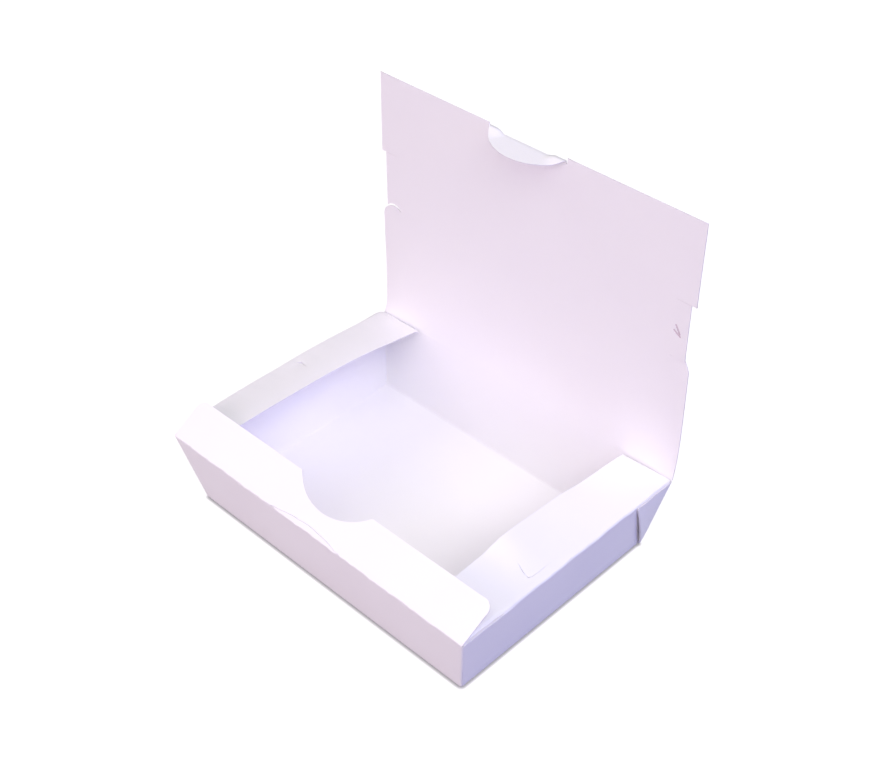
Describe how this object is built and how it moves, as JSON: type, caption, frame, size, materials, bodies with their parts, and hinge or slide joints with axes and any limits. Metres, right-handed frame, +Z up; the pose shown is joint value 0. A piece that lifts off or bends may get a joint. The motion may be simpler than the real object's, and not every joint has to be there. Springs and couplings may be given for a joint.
{
  "type": "takeout food box",
  "caption": "Open folded paperboard takeout box: shallow flared tray with webbed corners, a tall hinged lid with a lock tongue, and a notched front flap.",
  "frame": {"origin": "middle of the flat underside", "axes": "+X to the right along the front wall, +Y from the front wall to the hinged rear wall, +Z up"},
  "size_m": [0.2176, 0.1621, 0.2035],
  "materials": {
    "board": "matte"
  },
  "bodies": {
    "tray": {"tray": "board"},
    "lid": {"lid": "board"},
    "front_flap": {"front_flap": "board"},
    "tongue": {"tongue": "board"}
  },
  "joints": [
    {"name": "lid_hinge", "type": "hinge", "parent": "tray", "child": "lid", "pos_m": [0, 0.07995, 0.04575], "axis": [1, 0, 0], "range_deg": [-105, 82.6]},
    {"name": "front_flap_hinge", "type": "hinge", "parent": "tray", "child": "front_flap", "pos_m": [0, -0.07995, 0.04575], "axis": [-1, 0, 0], "range_deg": [-150, 0]},
    {"name": "tongue_hinge", "type": "hinge", "parent": "lid", "child": "tongue", "pos_m": [-0.0025, 0.08157, 0.20049], "axis": [1, 0, 0], "range_deg": [-93, 0]}
  ]
}
